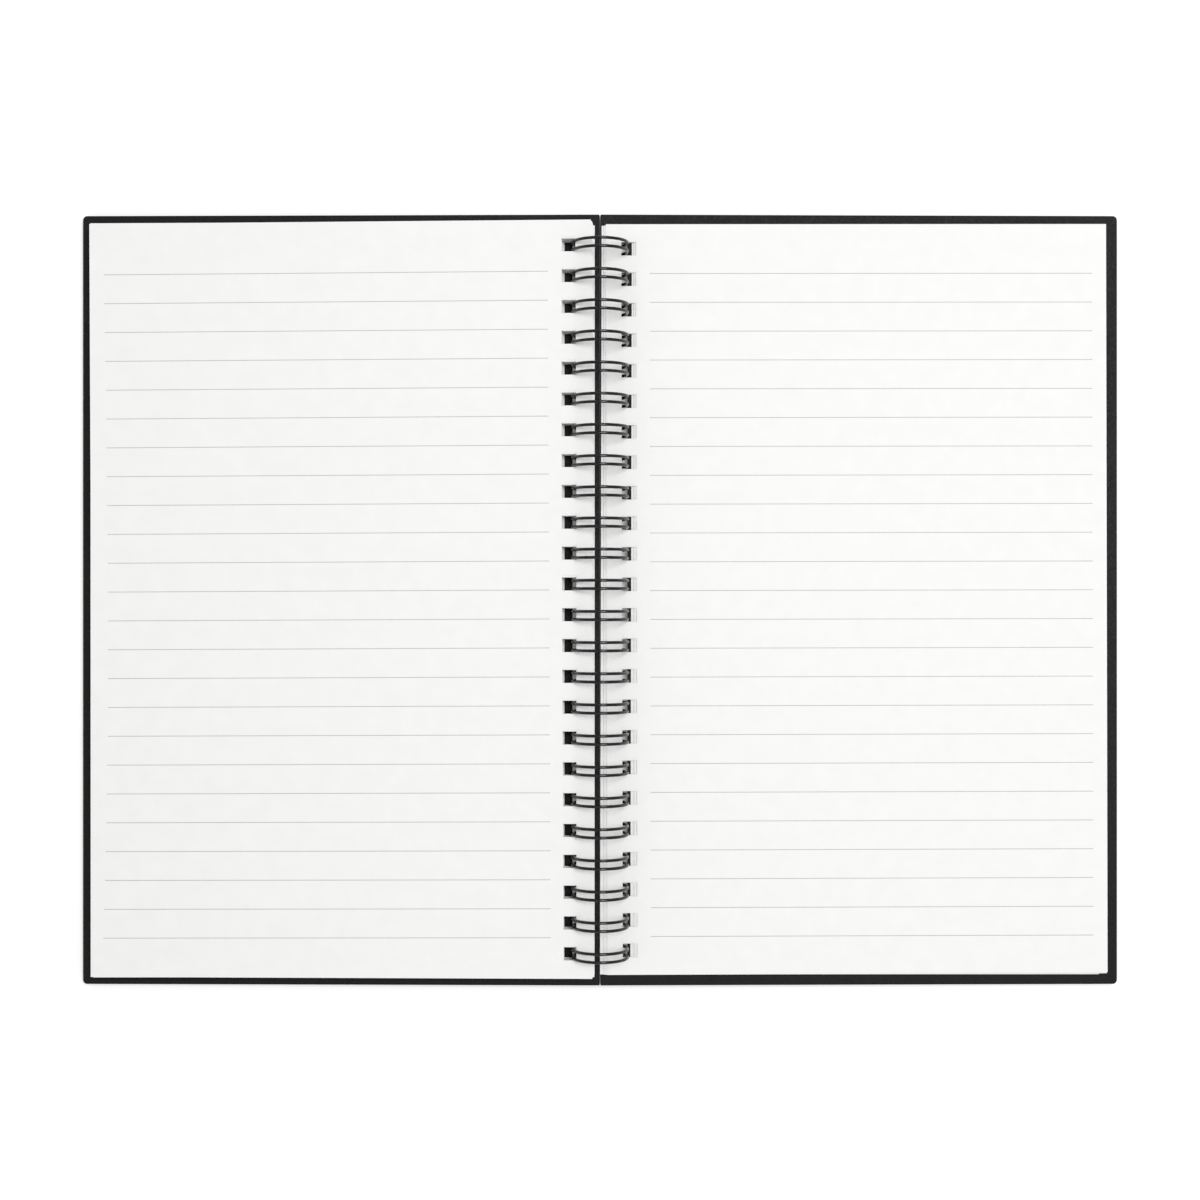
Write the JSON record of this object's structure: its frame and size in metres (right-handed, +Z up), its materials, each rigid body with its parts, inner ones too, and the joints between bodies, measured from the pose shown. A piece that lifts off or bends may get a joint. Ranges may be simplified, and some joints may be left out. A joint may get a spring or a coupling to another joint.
{
  "type": "wirebound notebook",
  "caption": "Hardcover notebook lying open: two stiff black covers and two stacks of ruled sheets hang by square holes on one black twin-loop wire and turn about it.",
  "frame": {"origin": "on the table, under the middle of the line about which the wire's loops are bent", "axes": "+X across the open notebook to the reader's right, +Y up the page, +Z up"},
  "size_m": [0.289, 0.2146, 0.0161],
  "materials": {
    "black_covering": "fine-grained black covering paper, satin",
    "greyboard": "raw grey binder's board",
    "lining_paper": "white lining paper, matt",
    "page_paper": "white woodfree writing paper, matt",
    "coated_wire": "steel wire with a glossy black nylon coat"
  },
  "bodies": {
    "back_cover": {"back_board": "greyboard", "back_covering": "black_covering", "back_lining": "lining_paper", "binding_wire": "coated_wire"},
    "front_cover": {"front_board": "greyboard", "front_covering": "black_covering", "front_lining": "lining_paper"},
    "left_stack": {"left_pages": "page_paper"},
    "right_stack": {"right_pages": "page_paper"}
  },
  "joints": [
    {"name": "front_cover_turn", "type": "hinge", "parent": "back_cover", "child": "front_cover", "pos_m": [0, 0, 0.00809], "axis": [0, 1, 0], "range_deg": [0, 181.4]},
    {"name": "left_pages_turn", "type": "hinge", "parent": "front_cover", "child": "left_stack", "pos_m": [0, 0, 0.00809], "axis": [0, 1, 0], "range_deg": [0, 181.4]},
    {"name": "right_pages_turn", "type": "hinge", "parent": "back_cover", "child": "right_stack", "pos_m": [0, 0, 0.00809], "axis": [0, 1, 0], "range_deg": [-178.6, 0]}
  ]
}
